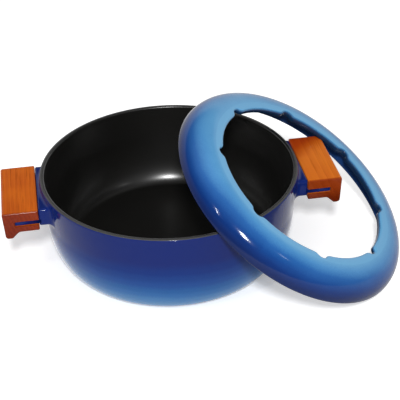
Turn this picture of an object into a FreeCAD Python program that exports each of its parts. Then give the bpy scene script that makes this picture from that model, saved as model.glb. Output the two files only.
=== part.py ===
import FreeCAD, Part
import math
import os

# A cast pot with two wooden grips, and the fork ring that was taken off it and leans on it.
# Millimetres. +Z is up, +X points along the grips, the origin is the centre of the pot's base.

# Pot casting
rim_radius = 120.0
pot_height = 87.6
wall = 4.4
floor_thickness = 5.5
wall_draft = 2.6            # how much narrower the wall is where the bowl begins
bowl_height = 54.0          # height at which the straight wall turns into the bowl
base_radius = 94.3
rim_rounding = 1.3

# Lugs and tangs, cast on the pot
lug_drop = 8.1              # top of lug and grip below the rim
lug_wall_gap = 3.8          # lug face beyond the rim, at the middle of its length
lug_inset = 1.5             # lug and tang end short of the grip's ends
lug_skirt = 3.4             # lug below the tang
lug_blend = 4.5
lug_rounding = 3.0
tang_thickness = 4.7
tang_reach = 21.4

# Wooden grips
grip_length = 80.0
grip_width = 31.3
lower_cheek = 6.2
upper_cheek = 9.5
slot_clearance = 0.15
lip_depth = 4.9             # finger lip below the lower cheek
lip_width = 6.2
lip_hollow = 4.5            # rounding of the hollow between lip and lower cheek
outer_face_draft = 1.3
grip_top_rounding = 2.2
grip_edge_rounding = 1.2
lip_rounding = 2.9
grip_end_rounding = 1.4

# Grip screws, driven up from below
screw_spacing = 46.0
screw_radius = 2.0
screw_head_radius = 3.6
screw_head_height = 2.2
screw_bite = 6.0            # depth of thread in the upper cheek
screw_clearance = 0.3
thread_clearance = 0.05
counterbore_depth = 2.8
drive_slot_width = 0.9
drive_slot_depth = 0.9
head_chamfer = 0.5

# Fork ring, in its own frame: axis along Z, seat at height 0
ring_overhang = 0.0         # seat edge beyond the rim
crown_radius = 95.0
crown_height = 23.3
opening_radius = 86.2
notch_count = 8
notch_depth = 4.6
notch_radius = 5.5
notch_shoulder = 7.0
ring_shell = 6.0
crown_roll = 1.3            # how far the crown rolls down towards the opening
roll_past_opening = 2.8     # where that roll would end, inside the opening
seat_rounding = 1.5
spigot_width = 7.0
spigot_depth = 3.0
spigot_clearance = 0.8
spigot_root = 2.0
rest_rounding = 2.4         # rounding of the edge that the forks rest on

# How the ring leans: its foot on the table, its heading and the turn of its notches
foot_past_grip = 40.9
foot_aside = 83.6
lean_heading = -25.22
lean_clearance = 0.3
notch_turn = -19.0
least_lean = 10.0
most_lean = 60.0
lean_precision = 0.004
rim_probes = 720
grip_probes = 40

# Places that follow from these sizes
bowl_radius = rim_radius - wall_draft
inner_rim = rim_radius - wall
inner_bowl = bowl_radius - wall
lug_length = grip_length - 2 * lug_inset
lug_top = pot_height - lug_drop
lug_face = rim_radius + lug_wall_gap
tang_top = lug_top - upper_cheek
tang_bottom = tang_top - tang_thickness
lug_bottom = tang_bottom - lug_skirt
cheek_bottom = tang_bottom - lower_cheek
grip_outer = lug_face + grip_width
screw_x = lug_face + tang_reach / 2
head_seat = cheek_bottom + counterbore_depth
ring_radius = rim_radius + ring_overhang
spigot_outer = inner_rim - spigot_clearance
spigot_inner = spigot_outer - spigot_width
notch_centre = opening_radius + notch_depth - notch_radius

round_share = 0.5523        # control length that makes a cubic curve a quarter ellipse
touch = 0.01                # faces nearer than this are one place
origin = FreeCAD.Vector(0, 0, 0)
up = FreeCAD.Vector(0, 0, 1)


def point(x, z):
    return FreeCAD.Vector(x, 0, z)


def line(start, end):
    return Part.LineSegment(start, end).toShape()


def quarter(start, corner, end):
    curve = Part.BezierCurve()
    reach_out = start + (corner - start) * round_share
    reach_in = end + (corner - end) * round_share
    curve.setPoles([start, reach_out, reach_in, end])
    return curve.toShape()


def rounded_outline(corners):
    # Closed outline of straight runs, each corner (x, z, radius) rounded by an arc.
    edges = []
    ends = []
    count = len(corners)
    for index, (x, z, radius) in enumerate(corners):
        corner = point(x, z)
        before = point(*corners[index - 1][:2]) - corner
        after = point(*corners[(index + 1) % count][:2]) - corner
        before.normalize()
        after.normalize()
        half = before.getAngle(after) / 2
        setback = radius / math.tan(half)
        bisector = (before + after).normalize()
        middle = corner + bisector * (radius / math.sin(half) - radius)
        ends.append((corner + before * setback, middle, corner + after * setback, radius))
    for index, (start, middle, end, radius) in enumerate(ends):
        if radius > 0:
            edges.append(Part.Arc(start, middle, end).toShape())
        edges.append(line(end, ends[(index + 1) % count][0]))
    return Part.Wire(edges)


def revolved(edges):
    return Part.Face(Part.Wire(edges)).revolve(origin, up, 360)


def mirrored(shape):
    return shape.mirror(origin, FreeCAD.Vector(1, 0, 0))


def lies_on(shape, spot):
    return shape.Shells[0].distToShape(Part.Vertex(spot))[0] < touch


def shared_edges(body, first, second):
    # Edges of a body that run along the faces of both shapes it was made from.
    found = []
    for edge in body.Edges:
        spot = edge.valueAt((edge.FirstParameter + edge.LastParameter) / 2)
        if lies_on(first, spot) and lies_on(second, spot):
            found.append(edge)
    return found


# Pot
def pot_outer():
    rim_corner = point(rim_radius, pot_height)
    rim_side = rim_corner + (point(bowl_radius, bowl_height) - rim_corner).normalize() * rim_rounding
    rim_top = point(rim_radius - rim_rounding, pot_height)
    return revolved([
        line(point(0, 0), point(base_radius, 0)),
        quarter(point(base_radius, 0), point(bowl_radius, 0), point(bowl_radius, bowl_height)),
        line(point(bowl_radius, bowl_height), rim_side),
        quarter(rim_side, rim_corner, rim_top),
        line(rim_top, point(0, pot_height)),
        line(point(0, pot_height), point(0, 0)),
    ])


def pot_cavity():
    rim_corner = point(inner_rim, pot_height)
    rim_side = rim_corner + (point(inner_bowl, bowl_height) - rim_corner).normalize() * rim_rounding
    rim_top = point(inner_rim + rim_rounding, pot_height)
    floor_corner = point(inner_bowl, floor_thickness)
    return revolved([
        line(point(0, floor_thickness), point(base_radius, floor_thickness)),
        quarter(point(base_radius, floor_thickness), floor_corner, point(inner_bowl, bowl_height)),
        line(point(inner_bowl, bowl_height), rim_side),
        quarter(rim_side, rim_corner, rim_top),
        line(rim_top, point(0, pot_height)),
        line(point(0, pot_height), point(0, floor_thickness)),
    ])


def lug():
    # Bridge from the wall to the grip, with its long edges rounded.
    root = math.sqrt(bowl_radius ** 2 - (lug_length / 2) ** 2) - wall
    corner = FreeCAD.Vector(root, -lug_length / 2, lug_bottom)
    block = Part.makeBox(lug_face - root, lug_length, lug_top - lug_bottom, corner)
    long_edges = [edge for edge in block.Edges if edge.BoundBox.XLength > touch]
    return block.makeFillet(lug_rounding, long_edges)


def tang():
    root = lug_face - lug_wall_gap
    corner = FreeCAD.Vector(root, -lug_length / 2, tang_bottom)
    plate = Part.makeBox(lug_face + tang_reach - root, lug_length, tang_thickness, corner)
    for side in (-1, 1):
        place = FreeCAD.Vector(screw_x, side * screw_spacing / 2, tang_bottom)
        plate = plate.cut(Part.makeCylinder(screw_radius + screw_clearance, tang_thickness, place, up))
    return plate


def pot_body():
    outer = pot_outer()
    body = outer
    for bridge in (lug(), mirrored(lug())):
        body = body.fuse(bridge).removeSplitter()
        body = body.makeFillet(lug_blend, shared_edges(body, outer, bridge))
    for plate in (tang(), mirrored(tang())):
        body = body.fuse(plate)
    return body.removeSplitter().cut(pot_cavity())


# Grips and their screws
def grip():
    lip_outer = grip_outer - outer_face_draft
    lip_inner = lip_outer - lip_width
    lip_bottom = cheek_bottom - lip_depth
    slot_end = lug_face + tang_reach + slot_clearance
    slot_top = tang_top + slot_clearance
    slot_bottom = tang_bottom - slot_clearance
    section = rounded_outline([
        (lug_face, lug_top, grip_edge_rounding),
        (grip_outer, lug_top, grip_top_rounding),
        (lip_outer, lip_bottom, lip_rounding),
        (lip_inner, lip_bottom, lip_rounding),
        (lip_inner - lip_depth, cheek_bottom, lip_hollow),
        (lug_face, cheek_bottom, grip_edge_rounding),
        (lug_face, slot_bottom, 0),
        (slot_end, slot_bottom, 0),
        (slot_end, slot_top, 0),
        (lug_face, slot_top, 0),
    ])
    section.translate(FreeCAD.Vector(0, -grip_length / 2, 0))
    block = Part.Face(section).extrude(FreeCAD.Vector(0, grip_length, 0))
    end_edges = []
    for edge in block.Edges:
        box = edge.BoundBox
        in_slot = box.ZMin > slot_bottom - touch and box.ZMax < slot_top + touch
        if box.YLength < touch and not in_slot:
            end_edges.append(edge)
    block = block.makeFillet(grip_end_rounding, end_edges)
    for side in (-1, 1):
        foot = FreeCAD.Vector(screw_x, side * screw_spacing / 2, lip_bottom)
        head_hole = Part.makeCylinder(screw_head_radius + screw_clearance, head_seat - lip_bottom, foot, up)
        foot.z = head_seat
        shank_hole = Part.makeCylinder(screw_radius + screw_clearance, tang_top - head_seat, foot, up)
        foot.z = tang_top
        thread_depth = screw_bite + screw_clearance
        thread_hole = Part.makeCylinder(screw_radius + thread_clearance, thread_depth, foot, up)
        block = block.cut(head_hole).cut(shank_hole).cut(thread_hole)
    return block


def screw(side):
    foot = FreeCAD.Vector(screw_x, side * screw_spacing / 2, head_seat)
    shank = Part.makeCylinder(screw_radius, tang_top + screw_bite - head_seat, foot, up)
    foot.z = head_seat - screw_head_height
    head = Part.makeCylinder(screw_head_radius, screw_head_height, foot, up)
    lower_rim = [edge for edge in head.Edges if edge.BoundBox.ZMax < foot.z + touch]
    head = head.makeChamfer(head_chamfer, lower_rim)
    slot_corner = foot - FreeCAD.Vector(screw_head_radius, drive_slot_width / 2, 0)
    slot = Part.makeBox(2 * screw_head_radius, drive_slot_width, drive_slot_depth, slot_corner)
    return head.cut(slot).fuse(shank)


# Fork ring
def ring_section():
    # Domed shell with a flat seat at its foot and a spigot that drops inside the rim.
    roll_radius = opening_radius - roll_past_opening
    roll_height = crown_height - crown_roll
    under_crown = crown_height - ring_shell
    under_roll = roll_height - ring_shell
    seat_side = point(ring_radius, seat_rounding)
    seat_edge = point(ring_radius - seat_rounding, 0)
    crown = point(crown_radius, crown_height)
    hollow = point(crown_radius, under_crown)
    return [
        line(point(spigot_outer, 0), seat_edge),
        quarter(seat_edge, point(ring_radius, 0), seat_side),
        quarter(seat_side, point(ring_radius, crown_height), crown),
        quarter(crown, point(roll_radius, crown_height), point(roll_radius, roll_height)),
        line(point(roll_radius, roll_height), point(roll_radius, under_roll)),
        quarter(point(roll_radius, under_roll), point(roll_radius, under_crown), hollow),
        quarter(hollow, point(spigot_inner, under_crown), point(spigot_inner, spigot_root)),
        line(point(spigot_inner, spigot_root), point(spigot_inner, -spigot_depth)),
        line(point(spigot_inner, -spigot_depth), point(spigot_outer, -spigot_depth)),
        line(point(spigot_outer, -spigot_depth), point(spigot_outer, 0)),
    ]


def opening_tool():
    # The round opening and its fork notches, with soft shoulders between them.
    prism = Part.makeCylinder(opening_radius, crown_height)
    prism.rotate(origin, up, notch_turn)
    for index in range(notch_count):
        notch = Part.makeCylinder(notch_radius, crown_height, FreeCAD.Vector(-notch_centre, 0, 0), up)
        notch.rotate(origin, up, 180 + notch_turn + index * 360 / notch_count)
        prism = prism.fuse(notch)
    prism = prism.removeSplitter()
    shoulders = [edge for edge in prism.Edges if edge.BoundBox.ZLength > crown_height - touch]
    return prism.makeFillet(notch_shoulder, shoulders)


def fork_ring():
    dome = revolved(ring_section())
    prism = opening_tool()
    ring = dome.cut(prism)
    return ring.makeFillet(rest_rounding, shared_edges(ring, dome, prism))


# The ring's lean
def leaning(tilt):
    # The ring's axis tips towards its heading, and its lowest edge stands on the table.
    heading = math.radians(lean_heading)
    slope = math.radians(tilt)
    across = FreeCAD.Vector(-math.sin(heading), math.cos(heading), 0)
    level_reach = ring_radius * math.cos(slope)
    seat_drop = (ring_radius - seat_rounding) * math.sin(slope) + seat_rounding * (1 - math.cos(slope))
    spigot_drop = spigot_outer * math.sin(slope) + spigot_depth * math.cos(slope)
    centre = FreeCAD.Vector(
        grip_outer + foot_past_grip - level_reach * math.cos(heading),
        -foot_aside - level_reach * math.sin(heading),
        max(seat_drop, spigot_drop),
    )
    turned = FreeCAD.Rotation(up, lean_heading)
    return FreeCAD.Placement(centre, FreeCAD.Rotation(across, tilt).multiply(turned))


def lean_probes():
    # Balls along the rim's two rounded edges and round the top of the right grip.
    probes = []
    height = pot_height - rim_rounding
    for index in range(rim_probes):
        angle = 2 * math.pi * index / rim_probes
        for radius in (rim_radius - rim_rounding, inner_rim + rim_rounding):
            spot = FreeCAD.Vector(radius * math.cos(angle), radius * math.sin(angle), height)
            probes.append((spot, rim_rounding))
    half = grip_length / 2 - grip_end_rounding
    near = lug_face + grip_end_rounding
    far = grip_outer - grip_top_rounding
    for index in range(grip_probes + 1):
        share = index / grip_probes
        outer_edge = FreeCAD.Vector(far, half - 2 * half * share, lug_top - grip_top_rounding)
        probes.append((outer_edge, grip_top_rounding))
        for side in (-half, half):
            end_edge = FreeCAD.Vector(near + (far - near) * share, side, lug_top - grip_end_rounding)
            probes.append((end_edge, grip_end_rounding))
    return probes


def lean_tilt(ring):
    # The least tilt at which the ring, pivoted on its foot, clears the rim and the grip.
    section = Part.Face(Part.Wire(ring_section()))
    section = section.cut(Part.makeCylinder(opening_radius, crown_height, origin, up))
    probes = lean_probes()
    low = least_lean
    high = most_lean
    while high - low > lean_precision:
        middle = (low + high) / 2
        to_ring = leaning(middle).inverse()
        clear = True
        for spot, radius in probes:
            room = radius + lean_clearance
            local = to_ring.multVec(spot)
            flat = Part.Vertex(point(math.hypot(local.x, local.y), local.z))
            if section.distToShape(flat)[0] < room and ring.distToShape(Part.Vertex(local))[0] < room:
                clear = False
                break
        if clear:
            high = middle
        else:
            low = middle
    return high


os.makedirs("parts", exist_ok=True)
right_grip = grip()
right_front = screw(-1)
right_rear = screw(1)
ring = fork_ring()
tilt = lean_tilt(ring)
ring.Placement = leaning(tilt)
print("lean", round(tilt, 3))

parts = {
    "pot_body": pot_body(),
    "right_grip": right_grip,
    "left_grip": mirrored(right_grip),
    "right_grip_screw_front": right_front,
    "right_grip_screw_rear": right_rear,
    "left_grip_screw_front": mirrored(right_front),
    "left_grip_screw_rear": mirrored(right_rear),
    "fork_ring": ring,
}

for name, shape in parts.items():
    solid = shape.Solids[0]
    solid.exportStep("parts/" + name + ".step")
    print(name, solid.isValid(), len(shape.Solids), round(solid.Volume / 1000, 2), "cm3")
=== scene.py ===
import math
import bmesh
import bpy
from mathutils import Matrix, Vector


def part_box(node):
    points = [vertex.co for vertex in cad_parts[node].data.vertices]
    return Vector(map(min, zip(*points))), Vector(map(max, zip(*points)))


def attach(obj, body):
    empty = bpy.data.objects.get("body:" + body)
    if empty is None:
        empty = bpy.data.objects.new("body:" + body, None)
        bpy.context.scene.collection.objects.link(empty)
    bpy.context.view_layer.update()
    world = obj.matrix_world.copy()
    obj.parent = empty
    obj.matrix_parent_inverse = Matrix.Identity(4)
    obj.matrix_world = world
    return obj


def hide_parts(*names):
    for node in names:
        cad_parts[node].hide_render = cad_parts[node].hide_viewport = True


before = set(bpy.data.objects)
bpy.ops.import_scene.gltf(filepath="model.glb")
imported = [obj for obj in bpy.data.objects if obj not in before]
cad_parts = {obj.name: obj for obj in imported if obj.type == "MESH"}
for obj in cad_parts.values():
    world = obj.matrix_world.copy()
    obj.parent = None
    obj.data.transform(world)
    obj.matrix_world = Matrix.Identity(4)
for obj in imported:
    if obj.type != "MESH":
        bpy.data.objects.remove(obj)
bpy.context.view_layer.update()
scene = bpy.context.scene
scene.view_settings.view_transform = "Standard"
gripLow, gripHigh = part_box("right_grip")
gripHalf = (gripHigh.y - gripLow.y) / 2
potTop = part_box("pot_body")[1].z
print("frame loaded,", len(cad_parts), "nodes")


# helpers for node trees

def feed(tree, socket, value):
    # a link where another socket gives the value, else the value itself
    if isinstance(value, bpy.types.NodeSocket):
        tree.links.new(value, socket)
    elif socket.type == "RGBA":
        socket.default_value = (*value, 1)
    else:
        socket.default_value = value


def addNode(tree, kind, inputs=None, **settings):
    node = tree.nodes.new("ShaderNode" + kind)
    for name, value in settings.items():
        setattr(node, name, value)
    for name, value in (inputs or {}).items():
        feed(tree, node.inputs[name], value)
    return node


def addMath(tree, operation, first, second):
    node = addNode(tree, "Math", operation=operation)
    for socket, value in zip(node.inputs, (first, second)):
        feed(tree, socket, value)
    return node.outputs[0]


def addMix(tree, factor, first, second, blend="MIX"):
    node = addNode(tree, "MixRGB", blend_type=blend)
    for socket, value in zip(node.inputs, (factor, first, second)):
        feed(tree, socket, value)
    return node.outputs[0]


def addRamp(tree, factor, stops, ease="LINEAR"):
    ramp = addNode(tree, "ValToRGB", {"Fac": factor})
    ramp.color_ramp.interpolation = ease
    elements = ramp.color_ramp.elements
    for index, (position, colour) in enumerate(stops):
        element = elements[index] if index < 2 else elements.new(position)  # a new ramp has two stops
        element.position = position
        element.color = (*colour, 1)
    return ramp.outputs["Color"]


def addRange(tree, value, span, limits=(0.0, 1.0), ease="LINEAR"):
    node = addNode(tree, "MapRange", {
        "Value": value, "From Min": span[0], "From Max": span[1], "To Min": limits[0], "To Max": limits[1],
    }, interpolation_type=ease)
    return node.outputs[0]


def addNoise(tree, place, scale, detail):
    return addNode(tree, "TexNoise", {"Vector": place, "Scale": scale, "Detail": detail}).outputs["Fac"]


def stretch(tree, place, factors):
    return addNode(tree, "VectorMath", {0: place, 1: factors}, operation="MULTIPLY").outputs[0]


def objectPlace(tree):
    return addNode(tree, "TexCoord").outputs["Object"]


def axesOf(tree, place):
    return addNode(tree, "SeparateXYZ", {0: place}).outputs


def newGroup(name, inputs, outputs):
    group = bpy.data.node_groups.new(name, "ShaderNodeTree")
    for label, value in inputs.items():
        socket = group.interface.new_socket(label, in_out="INPUT", socket_type="NodeSocketFloat")
        socket.default_value = value
    for label in outputs:
        group.interface.new_socket(label, in_out="OUTPUT", socket_type="NodeSocketFloat")
    entry = group.nodes.new("NodeGroupInput").outputs
    leave = group.nodes.new("NodeGroupOutput").inputs
    return group, entry, leave


def placeGroup(tree, group, values):
    node = tree.nodes.new("ShaderNodeGroup")
    node.node_tree = group
    for label, value in values.items():
        node.inputs[label].default_value = value
    return node.outputs


def newMaterial(name, shine):
    material = bpy.data.materials.new(name)
    material.use_nodes = True
    shader = material.node_tree.nodes["Principled BSDF"]
    for label, value in shine.items():
        shader.inputs[label].default_value = value
    return material, material.node_tree, shader


def spread(tree, shader, label, mask, limits):
    # a mask from 0 to 1 spread between two limits on one of the shader's sockets
    feed(tree, shader.inputs[label], addRange(tree, mask, (0.0, 1.0), limits))


def addBump(tree, shader, height, finish):
    strength, deep = finish["bump"], finish["bumpDeep"]
    bump = addNode(tree, "Bump", {"Height": height, "Strength": strength, "Distance": deep})
    feed(tree, shader.inputs["Normal"], bump.outputs[0])


# enamel: slow ripple of the fired glaze, fine orange peel, and the spatter of the sprayed second colour
enamel = {
    "inputs": {"Ripple Scale": 38.0, "Peel Scale": 420.0, "Peel": 0.25, "Spatter Scale": 900.0},
    "cloudScale": 22.0, "rippleDetail": 1.0, "peelDetail": 2.0, "spatterDetail": 3.0, "cloudDetail": 3.0,
    "noiseMiddle": 0.5,
}


def makeEnamelSkin():
    group, entry, leave = newGroup("enamelSkin", enamel["inputs"], ("Height", "Cloud", "Spatter"))
    place = objectPlace(group)
    ripple = addNoise(group, place, entry["Ripple Scale"], enamel["rippleDetail"])
    peel = addNoise(group, place, entry["Peel Scale"], enamel["peelDetail"])
    fine = addMath(group, "MULTIPLY", peel, entry["Peel"])
    feed(group, leave["Height"], addMath(group, "ADD", ripple, fine))
    feed(group, leave["Cloud"], addNoise(group, place, enamel["cloudScale"], enamel["cloudDetail"]))
    feed(group, leave["Spatter"], addNoise(group, place, entry["Spatter Scale"], enamel["spatterDetail"]))
    return group


def mottle(tree, skin, fade, finish):
    # a fade with the spray's specks and the glaze's clouds laid over it
    speck = addMath(tree, "SUBTRACT", skin["Spatter"], enamel["noiseMiddle"])
    cloud = addMath(tree, "SUBTRACT", skin["Cloud"], enamel["noiseMiddle"])
    specks = addMath(tree, "MULTIPLY", speck, finish["spatter"])
    clouds = addMath(tree, "MULTIPLY", cloud, finish["cloud"])
    return addMath(tree, "ADD", fade, addMath(tree, "ADD", specks, clouds))


# wood: growth rings bent by slow noise, dark pores along the length, and a broad figure
timber = {
    "inputs": {"Ring Scale": 190.0, "Wander": 0.006, "Figure Scale": 26.0, "Pore Scale": 900.0, "Shift": 0.0},
    "ringStretch": (1.0, 0.12, 1.0), "poreStretch": (1.0, 0.035, 1.0), "ringSlant": 0.45,
    "bendScale": 60.0, "bendDetail": 2.0, "fibreScale": 330.0, "fibreDetail": 4.0,
    "ringShare": 0.45, "fibreShare": 0.6, "poreDetail": 2.0, "poreSpan": (0.56, 0.70), "figureDetail": 2.0,
}


def makeWoodGrain():
    group, entry, leave = newGroup("woodGrain", timber["inputs"], ("Tone", "Pores", "Figure"))
    offset = addNode(group, "CombineXYZ", {"X": entry["Shift"], "Z": entry["Shift"]}).outputs[0]
    place = addNode(group, "VectorMath", {0: objectPlace(group), 1: offset}, operation="ADD").outputs[0]
    along = stretch(group, place, timber["ringStretch"])
    axes = axesOf(group, place)
    slant = addMath(group, "MULTIPLY", axes["Z"], timber["ringSlant"])
    bend = addNoise(group, along, timber["bendScale"], timber["bendDetail"])
    drift = addMath(group, "MULTIPLY", bend, entry["Wander"])
    across = addMath(group, "ADD", addMath(group, "ADD", axes["X"], slant), drift)
    rings = addMath(group, "FRACT", addMath(group, "MULTIPLY", across, entry["Ring Scale"]), 0.0)
    fibre = addNoise(group, along, timber["fibreScale"], timber["fibreDetail"])
    ringTone = addMath(group, "MULTIPLY", rings, timber["ringShare"])
    fibreTone = addMath(group, "MULTIPLY", fibre, timber["fibreShare"])
    feed(group, leave["Tone"], addMath(group, "ADD", ringTone, fibreTone))
    thread = stretch(group, place, timber["poreStretch"])
    pores = addNoise(group, thread, entry["Pore Scale"], timber["poreDetail"])
    feed(group, leave["Pores"], addRange(group, pores, timber["poreSpan"]))
    feed(group, leave["Figure"], addNoise(group, place, entry["Figure Scale"], timber["figureDetail"]))
    return group


enamelSkin = makeEnamelSkin()
woodGrain = makeWoodGrain()
print("shared finishes made:", len(bpy.data.node_groups))


# pot outside: navy above, lighter blue sprayed on towards the foot, the fade reaching a little higher on the
# left; the lowest stops are partly painted fill light
potBlue = {
    "fade": (0.008, 0.062), "leftwardLean": 0.022,
    "stops": [
        # the two lowest stops are the sprayed light blue made lighter still as painted fill light
        (0.0, (0.078, 0.240, 0.465)), (0.15, (0.052, 0.186, 0.410)), (0.28, (0.026, 0.128, 0.350)),
        (0.38, (0.017, 0.098, 0.300)), (0.52, (0.012, 0.062, 0.250)), (0.67, (0.008, 0.041, 0.200)),
        (0.78, (0.006, 0.028, 0.168)), (1.0, (0.006, 0.018, 0.135)),
    ],
    "spatter": 0.08, "cloud": 0.12, "roughness": (0.07, 0.15), "gloss": (0.42, 0.54),
    "bump": 0.10, "bumpDeep": 0.0006, "skin": {},
    "shine": {"Specular IOR Level": 0.035, "Coat Roughness": 0.09, "Coat IOR": 1.33},
}


def makePotBlue():
    material, tree, shader = newMaterial("potBlueEnamel", potBlue["shine"])
    skin = placeGroup(tree, enamelSkin, potBlue["skin"])
    axes = axesOf(tree, objectPlace(tree))
    height = addMath(tree, "ADD", axes["Z"], addMath(tree, "MULTIPLY", axes["X"], potBlue["leftwardLean"]))
    fade = mottle(tree, skin, addRange(tree, height, potBlue["fade"]), potBlue)
    feed(tree, shader.inputs["Base Color"], addRamp(tree, fade, potBlue["stops"], "EASE"))
    spread(tree, shader, "Roughness", skin["Cloud"], potBlue["roughness"])
    spread(tree, shader, "Coat Weight", skin["Cloud"], potBlue["gloss"])
    addBump(tree, shader, skin["Height"], potBlue)
    return material


# pot inside: satin black, faintly pebbled, dull on the flat bottom
potBlack = {
    "dark": (0.0036, 0.0036, 0.0034), "worn": (0.0066, 0.0062, 0.0052), "roughness": (0.50, 0.60),
    "gloss": (0.0, 1.0), "bottom": (0.0057, 0.0080), "bump": 0.08, "bumpDeep": 0.0004,
    "skin": {"Ripple Scale": 30.0, "Peel Scale": 1400.0, "Peel": 0.6},
    "shine": {"Specular IOR Level": 0.15, "Coat Roughness": 0.27, "Coat IOR": 1.62},
}


def makePotBlack():
    material, tree, shader = newMaterial("potBlackEnamel", potBlack["shine"])
    skin = placeGroup(tree, enamelSkin, potBlack["skin"])
    colour = addMix(tree, skin["Cloud"], potBlack["dark"], potBlack["worn"])
    feed(tree, shader.inputs["Base Color"], colour)
    spread(tree, shader, "Roughness", skin["Spatter"], potBlack["roughness"])
    height = axesOf(tree, objectPlace(tree))["Z"]
    feed(tree, shader.inputs["Coat Weight"], addRange(tree, height, potBlack["bottom"], potBlack["gloss"]))
    addBump(tree, shader, skin["Height"], potBlack)
    return material


# bare iron: ground rim of the pot and seat of the ring
bareIron = {
    "dark": (0.022, 0.022, 0.024), "light": (0.085, 0.085, 0.082), "roughness": (0.35, 0.55),
    "bump": 0.2, "bumpDeep": 0.0002,
    "skin": {"Ripple Scale": 60.0, "Peel Scale": 2200.0, "Peel": 0.8},
    "shine": {"Specular IOR Level": 0.4},
}


def makeBareIron():
    material, tree, shader = newMaterial("bareIronRim", bareIron["shine"])
    skin = placeGroup(tree, enamelSkin, bareIron["skin"])
    colour = addMix(tree, skin["Spatter"], bareIron["dark"], bareIron["light"])
    feed(tree, shader.inputs["Base Color"], colour)
    spread(tree, shader, "Roughness", skin["Cloud"], bareIron["roughness"])
    addBump(tree, shader, skin["Height"], bareIron)
    return material


# ring: sky blue round the opening, fading to navy at the seat; the opening's wall is painted shade, lighter
# towards one side as painted light
ringBlue = {
    "stops": [
        # the first stops, on the opening's wall, are dark as painted shade of the unlit wall
        (0.0, (0.005, 0.022, 0.060)), (0.05, (0.010, 0.040, 0.110)), (0.09, (0.055, 0.190, 0.400)),
        (0.13, (0.148, 0.420, 0.700)), (0.36, (0.140, 0.410, 0.690)), (0.46, (0.070, 0.255, 0.540)),
        (0.55, (0.022, 0.115, 0.360)), (0.66, (0.009, 0.056, 0.235)), (0.75, (0.005, 0.029, 0.155)),
        (0.85, (0.004, 0.017, 0.100)), (1.0, (0.003, 0.012, 0.072)),
    ],
    "spatter": 0.05, "cloud": 0.10, "roughness": (0.05, 0.11), "gloss": (1.0, 0.60),
    "bump": 0.10, "bumpDeep": 0.0006,
    "skin": {"Ripple Scale": 34.0, "Peel": 0.03},
    "shine": {"Specular IOR Level": 0.02, "Coat Roughness": 0.11, "Coat IOR": 1.38},
}


def outwardShare(tree):
    # how far out from the opening a point of the ring lies, kept on its mesh
    return addNode(tree, "Attribute", attribute_name="outward").outputs["Fac"]


def makeRingBlue():
    material, tree, shader = newMaterial("ringBlueEnamel", ringBlue["shine"])
    skin = placeGroup(tree, enamelSkin, ringBlue["skin"])
    fade = mottle(tree, skin, outwardShare(tree), ringBlue)
    feed(tree, shader.inputs["Base Color"], addRamp(tree, fade, ringBlue["stops"]))
    spread(tree, shader, "Roughness", skin["Cloud"], ringBlue["roughness"])
    spread(tree, shader, "Coat Weight", fade, ringBlue["gloss"])
    addBump(tree, shader, skin["Height"], ringBlue)
    return material


# ring underside: darkest just under the lip as painted shadow of the lip, bluer towards the spigot
ringUnder = {
    "stops": [
        # the dark stops near the lip are painted shadow of the lip
        (0.0, (0.005, 0.022, 0.060)), (0.28, (0.004, 0.017, 0.056)),
        (0.6, (0.010, 0.040, 0.140)), (1.0, (0.014, 0.052, 0.180)),
    ],
    "spatter": 0.0, "cloud": 0.25, "roughness": (0.30, 0.45), "gloss": (0.08, 0.16),
    "bump": 0.16, "bumpDeep": 0.0006,
    "skin": {"Ripple Scale": 44.0},
    "shine": {"Specular IOR Level": 0.0, "Coat Roughness": 0.28},
}


def makeRingUnder():
    material, tree, shader = newMaterial("ringUnderEnamel", ringUnder["shine"])
    skin = placeGroup(tree, enamelSkin, ringUnder["skin"])
    fade = mottle(tree, skin, outwardShare(tree), ringUnder)
    feed(tree, shader.inputs["Base Color"], addRamp(tree, fade, ringUnder["stops"]))
    spread(tree, shader, "Roughness", skin["Cloud"], ringUnder["roughness"])
    spread(tree, shader, "Coat Weight", skin["Cloud"], ringUnder["gloss"])
    addBump(tree, shader, skin["Height"], ringUnder)
    return material


# varnished wood of one grip, the varnish sunk into the pores
varnish = {
    "roughness": (0.30, 0.50), "gloss": (0.42, 0.20), "figureSpan": (0.35, 0.68), "endBand": (0.0018, 0.0003),
    "lowBelowTop": 0.010, "lowReach": 0.012, "bump": 0.12, "bumpDeep": 0.0002,
    "shine": {"Specular IOR Level": 0.0, "Coat Roughness": 0.15},
}
leftWood = {
    "shift": 0.0, "ringScale": 240.0, "figure": 0.55, "poreShow": 0.38,
    "stops": [(0.0, (0.390, 0.064, 0.006)), (0.35, (0.540, 0.097, 0.008)), (0.75, (0.660, 0.134, 0.010))],
    "glow": (0.730, 0.168, 0.012), "pore": (0.200, 0.034, 0.005),
    "endTint": (0.37, 0.21, 0.26), "lowShadeTint": (0.86, 0.80, 0.70),
    "shadeAndToneAlong": (-0.9, -0.4, 0.0), "shadeAndToneSpan": (0.128, 0.150), "shadeAndToneTint": (0.84, 0.76, 0.9),
}
rightWood = {
    "shift": 0.013, "ringScale": 120.0, "figure": 0.65, "poreShow": 0.28,
    "stops": [(0.0, (0.530, 0.096, 0.008)), (0.35, (0.640, 0.130, 0.011)), (0.75, (0.750, 0.174, 0.015))],
    "glow": (0.790, 0.215, 0.016), "pore": (0.310, 0.054, 0.005),
    "endTint": (0.37, 0.22, 0.32), "lowShadeTint": (0.50, 0.38, 0.42),
    # the darker back of this grip's top is painted shade and a painted dark reflection of the ring
    "shadeAndToneAlong": (-0.6, 0.8, 0.0), "shadeAndToneSpan": (-0.080, -0.055), "shadeAndToneTint": (0.58, 0.28, 0.33),
}


def tinted(tree, mask, colour, tint):
    return addMix(tree, mask, colour, addMix(tree, 1.0, colour, tint, "MULTIPLY"))


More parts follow.
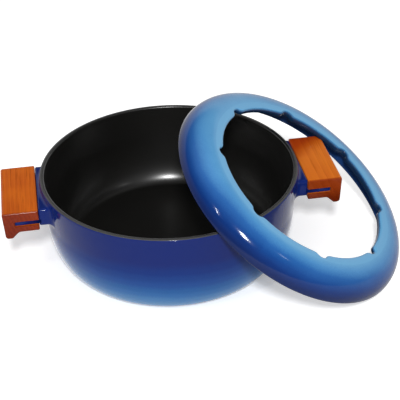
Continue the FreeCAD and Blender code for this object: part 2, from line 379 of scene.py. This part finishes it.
def makeGripWood(name, wood):
    material, tree, shader = newMaterial(name, varnish["shine"])
    grain = placeGroup(tree, woodGrain, {"Shift": wood["shift"], "Ring Scale": wood["ringScale"]})
    place = objectPlace(tree)
    axes = axesOf(tree, place)
    colour = addRamp(tree, grain["Tone"], wood["stops"])
    figure = addRange(tree, grain["Figure"], varnish["figureSpan"], (0.0, wood["figure"]))
    colour = addMix(tree, figure, colour, wood["glow"])
    pores = addMath(tree, "MULTIPLY", grain["Pores"], wood["poreShow"])
    colour = addMix(tree, pores, colour, wood["pore"])
    endSpan = [gripHalf - inset for inset in varnish["endBand"]]  # end grain takes the varnish darker
    ends = addRange(tree, addMath(tree, "ABSOLUTE", axes["Y"], 0.0), endSpan)
    colour = tinted(tree, ends, colour, wood["endTint"])
    # darker along one direction: on the right grip painted shade and a painted dark reflection of the ring
    # over the back of the top; on the left grip a darker wood tone at the outer front
    slope = addNode(tree, "VectorMath", {0: place, 1: wood["shadeAndToneAlong"]}, operation="DOT_PRODUCT")
    deep = addRange(tree, slope.outputs["Value"], wood["shadeAndToneSpan"], ease="SMOOTHSTEP")
    colour = tinted(tree, deep, colour, wood["shadeAndToneTint"])
    # darker low on the grip: painted shade, partly real varnish darkening
    lowTop = gripHigh.z - varnish["lowBelowTop"]
    low = addRange(tree, axes["Z"], (lowTop, lowTop - varnish["lowReach"]))
    feed(tree, shader.inputs["Base Color"], tinted(tree, low, colour, wood["lowShadeTint"]))
    spread(tree, shader, "Roughness", grain["Pores"], varnish["roughness"])
    spread(tree, shader, "Coat Weight", grain["Pores"], varnish["gloss"])
    addBump(tree, shader, addMath(tree, "SUBTRACT", 1.0, grain["Pores"]), varnish)
    return material


# screws: turned steel, brushed round the axis
screwSteel = {
    "dark": (0.32, 0.32, 0.33), "light": (0.58, 0.58, 0.57), "roughness": (0.25, 0.45),
    "lines": (60.0, 60.0, 900.0), "lineScale": 8.0, "lineDetail": 3.0, "bump": 0.1, "bumpDeep": 0.0001,
    "shine": {"Metallic": 1.0},
}


def makeScrewSteel():
    material, tree, shader = newMaterial("screwSteelTurned", screwSteel["shine"])
    lines = stretch(tree, objectPlace(tree), screwSteel["lines"])
    turned = addNoise(tree, lines, screwSteel["lineScale"], screwSteel["lineDetail"])
    feed(tree, shader.inputs["Base Color"], addMix(tree, turned, screwSteel["dark"], screwSteel["light"]))
    spread(tree, shader, "Roughness", turned, screwSteel["roughness"])
    addBump(tree, shader, turned, screwSteel)
    return material


potOutside = makePotBlue()
potInside = makePotBlack()
ironEdge = makeBareIron()
ringTop = makeRingBlue()
ringBelow = makeRingUnder()
steel = makeScrewSteel()
print("materials made:", len(bpy.data.materials))


# helpers for meshes

def quarterTurn(steps):
    return [math.pi / 2 * step / steps for step in range(steps + 1)]


def ellipseQuarter(start, corner, end, steps):
    points = []
    for angle in quarterTurn(steps)[1:]:
        out, turn = math.sin(angle), 1 - math.cos(angle)
        points.append(tuple(first + (bend - first) * out + (last - bend) * turn
                            for first, bend, last in zip(start, corner, end)))
    return points


def straight(start, end, steps):
    shares = [step / steps for step in range(1, steps + 1)]
    return [tuple(first + (last - first) * share for first, last in zip(start, end)) for share in shares]


def gridFaces(rows, columns, first=0, wrapRows=False):
    faces = []
    for row in range(rows if wrapRows else rows - 1):
        here, there = first + row * columns, first + (row + 1) % rows * columns
        for column in range(columns):
            nextColumn = (column + 1) % columns
            faces.append((here + column, here + nextColumn, there + nextColumn, there + column))
    return faces


mergeReach = 1e-7


def newPiece(name, points, faces, finishes, faceFinish):
    mesh = bpy.data.meshes.new(name)
    mesh.from_pydata(points, [], faces)
    for finish in finishes:
        mesh.materials.append(finish)
    mesh.polygons.foreach_set("material_index", faceFinish)
    mesh.polygons.foreach_set("use_smooth", [True] * len(mesh.polygons))
    made = bmesh.new()
    made.from_mesh(mesh)
    bmesh.ops.remove_doubles(made, verts=made.verts, dist=mergeReach)
    bmesh.ops.recalc_face_normals(made, faces=made.faces)
    made.to_mesh(mesh)
    made.free()
    piece = bpy.data.objects.new(name, mesh)
    scene.collection.objects.link(piece)
    return piece


# pot casting: spun wall with its lugs and tangs
pot = {
    "rimRadius": 0.120, "wall": 0.0044, "floor": 0.0055, "draft": 0.0026, "bowlHeight": 0.054,
    "baseRadius": 0.0943, "rimRounding": 0.0013, "axisRadius": 0.004,
    "around": 256, "floorSteps": 10, "bowlSteps": 26, "wallSteps": 10, "rimSteps": 6, "rimBlue": 3,
    "landSteps": 4, "landBare": 2, "innerRimSteps": 5, "hollowSteps": 24,
    "upperCheek": 0.0095, "tangThickness": 0.0047, "tangReach": 0.0214, "tangEdge": 0.0006,
    "tangEase": 0.3, "tangRoot": 0.002,
    "lugInset": 0.0015, "lugRounding": 0.0030, "lugSkirt": 0.0034, "lugBlend": 0.0045, "lugSink": 0.0008,
    "lugFaceGap": 0.0003, "lugFaceRound": 0.0016, "lugCloses": (1.0, 0.5, 0.0),
    "faceSteps": 5, "blendSteps": 8, "cornerSteps": 6, "lugAlong": 22, "lugRise": 5,
}
bowlRadius = pot["rimRadius"] - pot["draft"]
tangTop = gripHigh.z - pot["upperCheek"]
tangBottom = tangTop - pot["tangThickness"]
lugHalf = gripHalf - pot["lugInset"]


def wallRadius(height):
    return bowlRadius + pot["draft"] * (height - pot["bowlHeight"]) / (potTop - pot["bowlHeight"])


def wallSeat(y, height):
    return math.sqrt(wallRadius(height) ** 2 - y * y)


def potProfile():
    # (radius, height, finish) from under the base round to the floor: 0 outside, 1 rim, 2 inside
    rows, wall, floor, axis = [], pot["wall"], pot["floor"], pot["axisRadius"]
    rounding, base, bowl = pot["rimRounding"], pot["baseRadius"], pot["bowlHeight"]
    innerRim, innerBowl = pot["rimRadius"] - wall, bowlRadius - wall
    shoulder = potTop - rounding
    outerEdge, innerEdge = (wallRadius(shoulder), shoulder), (wallRadius(shoulder) - wall, shoulder)
    rimOut, rimIn = (pot["rimRadius"] - rounding, potTop), (innerRim + rounding, potTop)

    def lay(points, finish, earlier=0):
        # the first few points may belong to the finish before
        for index, (radius, height) in enumerate(points):
            rows.append((radius, height, finish - 1 if index < earlier else finish))

    lay(straight((axis, 0.0), (base, 0.0), pot["floorSteps"]), 0)
    lay(ellipseQuarter((base, 0.0), (bowlRadius, 0.0), (bowlRadius, bowl), pot["bowlSteps"]), 0)
    lay(straight((bowlRadius, bowl), outerEdge, pot["wallSteps"]), 0)
    lay(ellipseQuarter(outerEdge, (pot["rimRadius"], potTop), rimOut, pot["rimSteps"]), 1, pot["rimBlue"])
    lay(straight(rimOut, rimIn, pot["landSteps"]), 2, pot["landBare"])
    lay(ellipseQuarter(rimIn, (innerRim, potTop), innerEdge, pot["innerRimSteps"]), 2)
    lay(straight(innerEdge, (innerBowl, bowl), pot["wallSteps"]), 2)
    lay(ellipseQuarter((innerBowl, bowl), (innerBowl, floor), (base, floor), pot["hollowSteps"]), 2)
    lay(straight((base, floor), (axis, floor), pot["floorSteps"]), 2)
    return rows


def spinPot(points, faces, finish):
    rows, around = potProfile(), pot["around"]
    for radius, height, _ in rows:
        for step in range(around):
            turn = 2 * math.pi * step / around
            points.append((radius * math.cos(turn), radius * math.sin(turn), height))
    faces += gridFaces(len(rows), around)
    for row in rows[1:]:
        finish += [row[2]] * around
    for row in (0, len(rows) - 1):  # closed on the axis
        faces.append(tuple(row * around + step for step in range(around)))
        finish.append(rows[row][2])


def lugOutline(grow):
    # rounded rectangle in Y and Z, grown outwards
    rounding, reach = pot["lugRounding"], pot["lugRounding"] + grow
    side, high, low = lugHalf - rounding, gripHigh.z - rounding, tangBottom - pot["lugSkirt"] + rounding
    centres = [(side, high), (-side, high), (-side, low), (side, low)]
    runs = [pot["lugAlong"], pot["lugRise"]] * 2
    outline = []
    for index, (y, z) in enumerate(centres):
        for angle in quarterTurn(pot["cornerSteps"]):
            heading = math.pi / 2 * index + angle
            out = (reach * math.cos(heading), reach * math.sin(heading))
            outline.append((y + out[0], z + out[1]))
        nextY, nextZ = centres[(index + 1) % len(centres)]
        outline += straight(outline[-1], (nextY + out[0], nextZ + out[1]), runs[index])[:-1]
    return outline


def lugRows():
    # from the face against the grip back to the wall, where it flares into a blend
    rows, edge, blend = [], pot["lugFaceRound"], pot["lugBlend"]
    face = gripLow.x - pot["lugFaceGap"]
    for angle in quarterTurn(pot["faceSteps"]):
        inset, back = edge * (1 - math.sin(angle)), edge * (1 - math.cos(angle))
        rows.append([(face - back, y, z) for y, z in lugOutline(-inset)])
    for angle in quarterTurn(pot["blendSteps"]):
        out, away = blend * (1 - math.cos(angle)), blend * (1 - math.sin(angle))
        rows.append([(min(wallSeat(y, z) + away, face - edge), y, z) for y, z in lugOutline(out)])
    foot = rows[-1]
    middle = sum(z for _, _, z in foot) / len(foot)
    for share in pot["lugCloses"]:  # closed inside the wall, along the wall's own curve
        sunk = [(y, middle + (z - middle) * share) for _, y, z in foot]
        rows.append([(wallSeat(y, z) - pot["lugSink"], y, z) for y, z in sunk])
    return rows


def tangRows():
    edge, end = pot["tangEdge"], gripLow.x + pot["tangReach"]
    ease = pot["tangEase"] * edge
    rows = []
    for x, inset in ((gripLow.x - pot["tangRoot"], 0.0), (end - edge, 0.0), (end - ease, ease), (end, edge)):
        y, low, high = lugHalf - inset, tangBottom + inset, tangTop - inset
        rows.append([
            (x, y - edge, high), (x, -y + edge, high), (x, -y, high - edge), (x, -y, low + edge),
            (x, -y + edge, low), (x, y - edge, low), (x, y, low + edge), (x, y, high - edge),
        ])
    return rows


def makePot():
    points, faces, finish = [], [], []
    spinPot(points, faces, finish)
    for side in (1, -1):
        for rows in (lugRows(), tangRows()):
            first, columns = len(points), len(rows[0])
            points += [(side * x, y, z) for row in rows for x, y, z in row]
            faces += gridFaces(len(rows), columns, first)
            faces.append(tuple(range(first, first + columns)))
            if rows[-1][0][0] > gripLow.x:  # the tang's far end is closed too
                faces.append(tuple(range(len(points) - columns, len(points))))
    finish += [0] * (len(faces) - len(finish))
    piece = newPiece("potCasting", points, faces, [potOutside, ironEdge, potInside], finish)
    piece.modifiers.new("evenShade", "WEIGHTED_NORMAL").keep_sharp = True
    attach(piece, "pot")
    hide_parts("pot_body")
    return piece


potPiece = makePot()
print("pot casting:", len(potPiece.data.vertices), "points")


# wooden grips: slotted section drawn along Y, rounded at both ends
grip = {
    "lowerCheek": 0.0062, "slotRoom": 0.00015, "slotInset": 0.15, "outerShown": 0.0010,
    "lipDepth": 0.0062, "lipWidth": 0.0062, "lipHollow": 0.0045, "lipRounding": 0.0029, "faceDraft": 0.0013,
    "topRounding": 0.0022, "edgeRounding": 0.0013, "endRounding": 0.0013, "endStrip": 0.004,
    "cornerSteps": 6, "endSteps": 5,
    "screwSpacing": 0.046, "holeRadius": 0.0039, "holeDepth": 0.0028, "shankRadius": 0.0023,
    "holeSides": 40, "cutBelow": 0.004, "cutAbove": 0.002, "sharpAngle": 40.0,
}
cheekBottom = tangBottom - grip["lowerCheek"]


def gripCorners():
    # (x, z, rounding, share of the end rounding's inset)
    face, outer, top = gripLow.x, gripHigh.x + grip["outerShown"], gripHigh.z
    edge, lip, slot = grip["edgeRounding"], grip["lipRounding"], grip["slotInset"]
    slotTop, slotBottom = tangTop + grip["slotRoom"], tangBottom - grip["slotRoom"]
    slotEnd = face + pot["tangReach"] + grip["slotRoom"]
    lipOuter, lipBottom = outer - grip["faceDraft"], cheekBottom - grip["lipDepth"]
    lipInner = lipOuter - grip["lipWidth"]
    return [
        (face, top, edge, 1.0), (outer, top, grip["topRounding"], 1.0),
        (lipOuter, lipBottom, lip, 1.0), (lipInner, lipBottom, lip, 1.0),
        (lipInner - grip["lipDepth"], cheekBottom, grip["lipHollow"], 1.0), (face, cheekBottom, edge, 1.0),
        (face, slotBottom, 0.0, slot), (slotEnd, slotBottom, 0.0, slot),
        (slotEnd, slotTop, 0.0, slot), (face, slotTop, 0.0, slot),
    ]


def gripSection():
    # outline in X and Z: (spot, direction into the wood, share of the inset)
    corners, outline = gripCorners(), []
    for index, (x, z, rounding, share) in enumerate(corners):
        here = Vector((x, z))
        before = (Vector(corners[index - 1][:2]) - here).normalized()
        after = (Vector(corners[(index + 1) % len(corners)][:2]) - here).normalized()
        half, middle = before.angle(after) / 2, (before + after).normalized()
        convex = 1 if before.x * after.y - before.y * after.x > 0 else -1
        if rounding == 0.0:
            outline.append((here, middle * (convex / math.sin(half)), share))
            continue
        centre = here + middle * (rounding / math.sin(half))
        start = here + before * (rounding / math.tan(half)) - centre
        for step in range(grip["cornerSteps"] + 1):
            angle = -convex * (math.pi - 2 * half) * step / grip["cornerSteps"]
            spoke = Matrix.Rotation(angle, 2) @ start
            outline.append((centre + spoke, spoke.normalized() * -convex, share))
    return outline


def gripStations():
    # (y, inset) along the grip, from one rounded end to the other
    rounding = grip["endRounding"]
    ends = [(gripHalf - rounding * (1 - math.sin(angle)), rounding * (1 - math.cos(angle)))
            for angle in reversed(quarterTurn(grip["endSteps"]))]
    ends += [(gripHalf - rounding - grip["endStrip"], 0.0), (gripHalf / 2, 0.0), (0.0, 0.0)]
    return [(-y, inset) for y, inset in ends] + ends[-2::-1]


def makeGrip(name, node, side, finish):
    section = gripSection()
    points, columns = [], len(section)
    for y, inset in gripStations():
        for spot, inward, share in section:
            moved = spot + inward * (inset * share)
            points.append((side * moved.x, y, moved.y))
    faces = gridFaces(len(points) // columns, columns)
    faces.append(tuple(range(columns)))
    faces.append(tuple(range(len(points) - columns, len(points))))
    piece = newPiece(name, points, faces, [finish], [0] * len(faces))
    cutScrewHoles(piece, side)
    piece.modifiers.new("evenShade", "WEIGHTED_NORMAL").keep_sharp = True
    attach(piece, "pot")
    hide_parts(node)


def cutScrewHoles(piece, side):
    low = cheekBottom - grip["cutBelow"]
    headTop, shankTop = cheekBottom + grip["holeDepth"], tangBottom + grip["cutAbove"]
    cutter = bmesh.new()
    for end in (-1, 1):
        x, y = side * (gripLow.x + pot["tangReach"] / 2), end * grip["screwSpacing"] / 2
        for radius, high in ((grip["holeRadius"], headTop), (grip["shankRadius"], shankTop)):
            where = Matrix.Translation((x, y, (low + high) / 2))
            bmesh.ops.create_cone(cutter, cap_ends=True, segments=grip["holeSides"], radius1=radius,
                                  radius2=radius, depth=high - low, matrix=where)
    mesh = bpy.data.meshes.new("screwHoles")
    cutter.to_mesh(mesh)
    cutter.free()
    tool = bpy.data.objects.new("screwHoles", mesh)
    scene.collection.objects.link(tool)
    cut = piece.modifiers.new("holes", "BOOLEAN")
    cut.object, cut.operation, cut.solver = tool, "DIFFERENCE", "EXACT"
    cut.use_self = True
    drilled = bpy.data.meshes.new_from_object(piece.evaluated_get(bpy.context.evaluated_depsgraph_get()))
    piece.modifiers.remove(cut)
    piece.data = drilled
    drilled.set_sharp_from_angle(angle=math.radians(grip["sharpAngle"]))
    bpy.data.objects.remove(tool)


makeGrip("rightGripWood", "right_grip", 1, makeGripWood("rightWoodVarnished", rightWood))
makeGrip("leftGripWood", "left_grip", -1, makeGripWood("leftWoodVarnished", leftWood))
print("grips made")

# the screws keep their CAD shape and take turned steel
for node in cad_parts:
    if "screw" in node:
        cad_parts[node].data.materials.clear()
        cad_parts[node].data.materials.append(steel)
print("screws finished")


# fork ring: domed shell with fork notches round its opening
ring = {
    "radius": 0.120, "crownRadius": 0.095, "crownHeight": 0.0233, "crownRoll": 0.0013, "rollPast": 0.0028,
    "shell": 0.0060, "openingRadius": 0.0862, "restRounding": 0.0024, "seatRounding": 0.0015,
    "notches": 8, "notchDepth": 0.0046, "notchRadius": 0.0055, "notchShoulder": 0.0070, "notchTurn": -19.0,
    "spigotOuter": 0.1148, "spigotInner": 0.1078, "spigotDepth": 0.0030, "spigotShown": 0.0012,
    "spigotRoot": 0.0020, "spigotEdge": 0.0005,
    "heading": -25.22, "tilt": 34.020, "footPastGrip": 0.0409, "footAside": 0.0836,
    "notchSteps": 9, "lobeSteps": 12, "edgeSteps": 5, "topSteps": 6, "domeSteps": 26, "seatSteps": 4,
    "seatBlue": 2, "landSteps": 2, "hollowSteps": 14,
    "lipShare": 0.12, "crownShare": 0.384, "underLip": 0.2, "underCrown": 0.5,
    # the last pair paints light on the opening's wall, strongest towards its heading
    "spraysAndSheen": [(172.0, 0.17), (338.0, 0.06)], "paintedLipLight": (266.0, 0.11),
}


def bearing(vector):
    return math.atan2(vector.y, vector.x)


def arc(centre, radius, start, end, steps, sign):
    found = []
    for step in range(steps):
        angle = start + (end - start) * step / steps
        out = Vector((math.cos(angle), math.sin(angle)))
        found.append((centre + out * radius, out * sign))
    return found


def openingOutline():
    # the opening seen from above: (spot, out), with out pointing into the metal
    half, opening = math.pi / ring["notches"], ring["openingRadius"]
    inner, outer = ring["notchRadius"], ring["notchShoulder"]
    notch = Vector((opening + ring["notchDepth"] - inner, 0.0))
    reach, near = opening + outer, inner + outer
    lobeStart = math.acos((reach ** 2 + notch.x ** 2 - near ** 2) / (2 * reach * notch.x))
    shoulder = Vector((math.cos(lobeStart), math.sin(lobeStart))) * reach
    back = bearing(notch - shoulder) % (2 * math.pi)
    side = arc(notch, inner, 0.0, bearing(shoulder - notch), ring["notchSteps"], 1)
    side += arc(shoulder, outer, back, lobeStart + math.pi, ring["notchSteps"], -1)
    side += arc(Vector((0.0, 0.0)), opening, lobeStart, half, ring["lobeSteps"], 1)
    middle = Vector((math.cos(half), math.sin(half)))
    side.append((middle * opening, middle))
    flip = Matrix.Rotation(2 * half, 2) @ Matrix(((1, 0), (0, -1)))
    period = side + [(flip @ spot, flip @ out) for spot, out in reversed(side[1:-1])]
    outline = []
    for index in range(ring["notches"]):
        turn = Matrix.Rotation(math.radians(ring["notchTurn"]) + 2 * half * index, 2)
        outline += [(turn @ spot, turn @ out) for spot, out in period]
    return outline


def crownTop(radius):
    inside = ring["crownRadius"] - radius
    if inside >= 0:
        reach = ring["crownRadius"] - ring["openingRadius"] + ring["rollPast"]
        return ring["crownHeight"] - ring["crownRoll"] * (1 - math.sqrt(max(0.0, 1 - (inside / reach) ** 2)))
    reach, rise = ring["radius"] - ring["crownRadius"], ring["crownHeight"] - ring["seatRounding"]
    return ring["seatRounding"] + rise * math.sqrt(max(0.0, 1 - (inside / reach) ** 2))


def domeRows():
    # (radius, height, finish) from just past the crown out to the seat and in again under the dome
    radius, crownRadius, crownHeight = ring["radius"], ring["crownRadius"], ring["crownHeight"]
    rounding, edge, low = ring["seatRounding"], ring["spigotEdge"], -ring["spigotShown"]
    outer, inner, root = ring["spigotOuter"], ring["spigotInner"], ring["spigotRoot"]
    under = crownHeight - ring["shell"]
    seat, seatIn = (radius, rounding), (radius - rounding, 0.0)
    dome = ellipseQuarter((crownRadius, crownHeight), (radius, crownHeight), seat, ring["domeSteps"])
    rim = ellipseQuarter(seat, (radius, 0.0), seatIn, ring["seatSteps"])
    land = straight(seatIn, (outer + edge, 0.0), ring["landSteps"])
    spigot = [(outer, -edge), (outer, low + edge), (outer - edge, low)]
    spigot += [(inner + edge, low), (inner, low + edge), (inner, root)]
    hollow = ellipseQuarter((inner, root), (inner, under), (crownRadius, under), ring["hollowSteps"])
    rows = [(*point, 0) for point in dome + rim[:ring["seatBlue"]]]
    rows += [(*point, 1) for point in rim[ring["seatBlue"]:] + land]
    return rows + [(*point, 2) for point in spigot + hollow]


def makeRing():
    outline, dome = openingOutline(), domeRows()
    columns, shell, rest = len(outline), ring["shell"], ring["restRounding"]
    topSteps, edgeSteps, hollowSteps = ring["topSteps"], ring["edgeSteps"], ring["hollowSteps"]
    lipShare, crownShare = ring["lipShare"], ring["crownShare"]
    underLip, underCrown = ring["underLip"], ring["underCrown"]
    rows, finish, outward = [], [], []
    turns = [bearing(spot) for spot, _ in outline]
    # the dome lighter towards the given headings: partly the spray's own spread, partly a painted reflection
    leans = [sum(lean * max(0.0, math.cos(turn - math.radians(heading))) for heading, lean in ring["spraysAndSheen"])
             for turn in turns]
    # painted light on the opening's wall, strongest towards one heading
    lipHeading, paintedLipLight = ring["paintedLipLight"]
    lipLights = [paintedLipLight * (1 + math.cos(turn - math.radians(lipHeading))) / 2 for turn in turns]

    def lay(points, side, share, lean=0.0, lipLit=0.0):
        # one row, with the share that its colour fade follows
        rows.append(points)
        finish.append(side)
        # lean and lipLit shift the fade: partly painted reflection on the dome, painted light on the
        # opening's wall
        outward.extend(share - lean * spray + lipLit * light for spray, light in zip(leans, lipLights))

    def between(place, share, lift):
        # part of the way from the rounded edge to the crown
        spot, out = place
        edge = spot + out * rest
        found = edge.lerp(spot.normalized() * ring["crownRadius"], share)
        return Vector((found.x, found.y, crownTop(found.length) + lift))

    def lip(place, share, upper):
        # rounded edge between the opening's wall and the surface above or below it
        spot = place[0]
        lift, drop = (0.0, -rest) if upper else (-shell, rest)
        corner = Vector((spot.x, spot.y, crownTop(spot.length) + lift))
        wall = corner + Vector((0.0, 0.0, drop))
        end = between(place, 0.0, lift)
        return wall * (1 - share) ** 2 + corner * (2 * share * (1 - share)) + end * share ** 2

    for step in range(edgeSteps + 1):
        points = [lip(place, step / edgeSteps, True) for place in outline]
        lay(points, 0, lipShare * step / edgeSteps, lipLit=1.0)
    for step in range(1, topSteps + 1):
        points = [between(place, step / topSteps, 0.0) for place in outline]
        lay(points, 0, lipShare + (crownShare - lipShare) * step / topSteps)
    domeCount = sum(1 for row in dome if row[2] == 0)
    hollowStart = len(dome) - hollowSteps
    for index, (radius, height, side) in enumerate(dome):
        passed = min(1.0, (index + 1) / domeCount)
        share = crownShare + (1.0 - crownShare) * passed
        if index > hollowStart:
            share = 1.0 - (1.0 - underCrown) * (index - hollowStart) / hollowSteps
        points = [(radius * math.cos(turn), radius * math.sin(turn), height) for turn in turns]
        lay(points, side, share, math.sin(math.pi * passed))
    for step in reversed(range(topSteps)):
        points = [between(place, step / topSteps, -shell) for place in outline]
        lay(points, 2, underLip + (underCrown - underLip) * step / topSteps)
    for step in reversed(range(edgeSteps)):
        points = [lip(place, step / edgeSteps, False) for place in outline]
        lay(points, 2, underLip * step / edgeSteps)

    points = [point for row in rows for point in row]
    faces = gridFaces(len(rows), columns, wrapRows=True)
    faceFinish = [side for side in finish[1:] + finish[:1] for _ in range(columns)]
    piece = newPiece("forkRing", points, faces, [ringTop, ironEdge, ringBelow], faceFinish)
    shares = piece.data.attributes.new("outward", "FLOAT", "POINT")
    shares.data.foreach_set("value", outward)
    piece.data.transform(ringLean())
    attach(piece, "fork_ring")
    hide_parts("fork_ring")
    return piece


def ringLean():
    # the ring leaning on the pot, its lowest edge on the table
    heading, tilt = math.radians(ring["heading"]), math.radians(ring["tilt"])
    level, rounding = math.cos(tilt), ring["seatRounding"]
    downhill = Vector((math.cos(heading) * level, math.sin(heading) * level, -math.sin(tilt)))
    across = Vector((-math.sin(heading), math.cos(heading), 0.0))
    reach = ring["radius"] * level
    seatDrop = (ring["radius"] - rounding) * math.sin(tilt) + rounding * (1 - level)
    spigotDrop = ring["spigotOuter"] * math.sin(tilt) + ring["spigotDepth"] * level
    centreX = gripHigh.x + ring["footPastGrip"] - reach * math.cos(heading)
    centreY = -ring["footAside"] - reach * math.sin(heading)
    lean = Matrix((downhill, across, downhill.cross(across))).transposed().to_4x4()
    return Matrix.Translation((centreX, centreY, max(seatDrop, spigotDrop))) @ lean


ringPiece = makeRing()
print("fork ring:", len(ringPiece.data.vertices), "points")


# camera at the photograph's angle
view = {
    "azimuth": -8.902, "elevation": 33.39, "roll": 1.463, "away": 1.00756, "lens": 95.41, "sensor": 36.0,
    "target": (0.027866, -0.004365, 0.048553),
}


def aim(azimuth, elevation):
    turn, rise = math.radians(azimuth), math.radians(elevation)
    return Vector((math.sin(turn) * math.cos(rise), -math.cos(turn) * math.cos(rise), math.sin(rise)))


def makeCamera():
    data = bpy.data.cameras.new("photoCamera")
    data.lens, data.sensor_width = view["lens"], view["sensor"]
    camera = bpy.data.objects.new("photoCamera", data)
    scene.collection.objects.link(camera)
    back = aim(view["azimuth"], view["elevation"])
    right = Vector((0, 0, 1)).cross(back).normalized()
    upward = back.cross(right)
    roll = math.radians(view["roll"])
    rolledRight = right * math.cos(roll) - upward * math.sin(roll)
    rolledUp = right * math.sin(roll) + upward * math.cos(roll)
    turn = Matrix((rolledRight, rolledUp, back)).transposed().to_4x4()
    camera.matrix_world = Matrix.Translation(Vector(view["target"]) + back * view["away"]) @ turn
    scene.camera = camera


# floor and light
stage = {
    "floorSize": 6.0, "floorColour": (0.87, 0.87, 0.87), "floorShade": 0.98,
    "paperScale": 40.0, "paperDetail": 2.0,
    "shine": {"Roughness": 0.9, "Specular IOR Level": 0.0, "Emission Color": (1, 1, 1, 1)},
    "glowSpan": (0.10, 0.22), "floorGlow": (0.31, 0.65),
    "mirrorSpan": (-0.12, 0.12), "floorMirrored": (0.10, 0.60),
    "nearSpan": (0.13, 0.21), "nearShown": (1.5, 0.6),
    "ambient": 0.27, "sky": [(0.0, 0.85), (0.42, 0.85), (0.52, 0.08), (0.75, 0.08), (0.95, 0.8)],
    "backSpan": (-0.1, 0.6), "frontSky": 0.25, "lampsAway": 1.6,
    "lamps": [
        {"name": "frontLamp", "azimuth": -8.0, "elevation": 41.8, "size": (0.13, 0.20), "power": 19.4},
        {"name": "leftLamp", "azimuth": -50.0, "elevation": 46.0, "size": (0.06, 0.22), "power": 2.2},
        {"name": "rightLamp", "azimuth": 47.0, "elevation": 37.0, "size": (0.04, 0.14), "power": 0.3},
    ],
}


def mirrorRays(tree, rays):
    return addMath(tree, "MAXIMUM", rays["Is Glossy Ray"], rays["Is Transmission Ray"])


def floorLight(tree):
    # whiter to the camera away from the object, and in reflections lighter behind it and close to it
    rays, place = addNode(tree, "LightPath").outputs, objectPlace(tree)
    away = addNode(tree, "VectorMath", {0: place}, operation="LENGTH").outputs["Value"]
    seen = addMath(tree, "MULTIPLY", rays["Is Camera Ray"],
                   addRange(tree, away, stage["glowSpan"], stage["floorGlow"]))
    behind = addRange(tree, axesOf(tree, place)["Y"], stage["mirrorSpan"], stage["floorMirrored"])
    near = addRange(tree, away, stage["nearSpan"], stage["nearShown"])
    mirrored = addMath(tree, "MULTIPLY", mirrorRays(tree, rays), addMath(tree, "MULTIPLY", behind, near))
    return addMath(tree, "ADD", seen, mirrored)


def skyLight(tree):
    # white to the camera, and in reflections a pale horizon under a dim room with a lit ceiling
    rays = addNode(tree, "LightPath").outputs
    toward = axesOf(tree, addNode(tree, "TexCoord").outputs["Generated"])
    room = addRamp(tree, toward["Z"], [(rise, (grey, grey, grey)) for rise, grey in stage["sky"]])
    behind = addRange(tree, toward["Y"], stage["backSpan"], (stage["frontSky"], 1.0))
    mirrored = addMath(tree, "MULTIPLY", addMath(tree, "MULTIPLY", room, behind), mirrorRays(tree, rays))
    soft = addMath(tree, "MULTIPLY", rays["Is Diffuse Ray"], stage["ambient"])
    return addMath(tree, "ADD", addMath(tree, "ADD", mirrored, soft), rays["Is Camera Ray"])


def makeFloor():
    material, tree, shader = newMaterial("paleFloor", stage["shine"])
    paper = addNoise(tree, objectPlace(tree), stage["paperScale"], stage["paperDetail"])
    shaded = tuple(stage["floorShade"] * part for part in stage["floorColour"])
    feed(tree, shader.inputs["Base Color"], addMix(tree, paper, stage["floorColour"], shaded))
    feed(tree, shader.inputs["Emission Strength"], floorLight(tree))
    half = stage["floorSize"] / 2
    corners = [(-half, -half, 0), (half, -half, 0), (half, half, 0), (-half, half, 0)]
    floor = newPiece("floor", corners, [(0, 1, 2, 3)], [material], [0])


def makeLight():
    world = bpy.data.worlds.new("studio")
    world.use_nodes = True
    scene.world = world
    sky = world.node_tree.nodes["Background"]
    sky.inputs["Color"].default_value = (1, 1, 1, 1)
    feed(world.node_tree, sky.inputs["Strength"], skyLight(world.node_tree))
    for lamp in stage["lamps"]:
        light = bpy.data.lights.new(lamp["name"], "AREA")
        light.shape, light.size, light.size_y = "RECTANGLE", *lamp["size"]
        light.energy = lamp["power"]
        holder = bpy.data.objects.new(lamp["name"], light)
        scene.collection.objects.link(holder)
        toward = aim(lamp["azimuth"], lamp["elevation"])
        holder.location = Vector(view["target"]) + toward * stage["lampsAway"]
        holder.rotation_mode = "QUATERNION"
        holder.rotation_quaternion = toward.to_track_quat("Z", "Y")


makeFloor()
makeLight()
makeCamera()
print("floor, light and camera made")
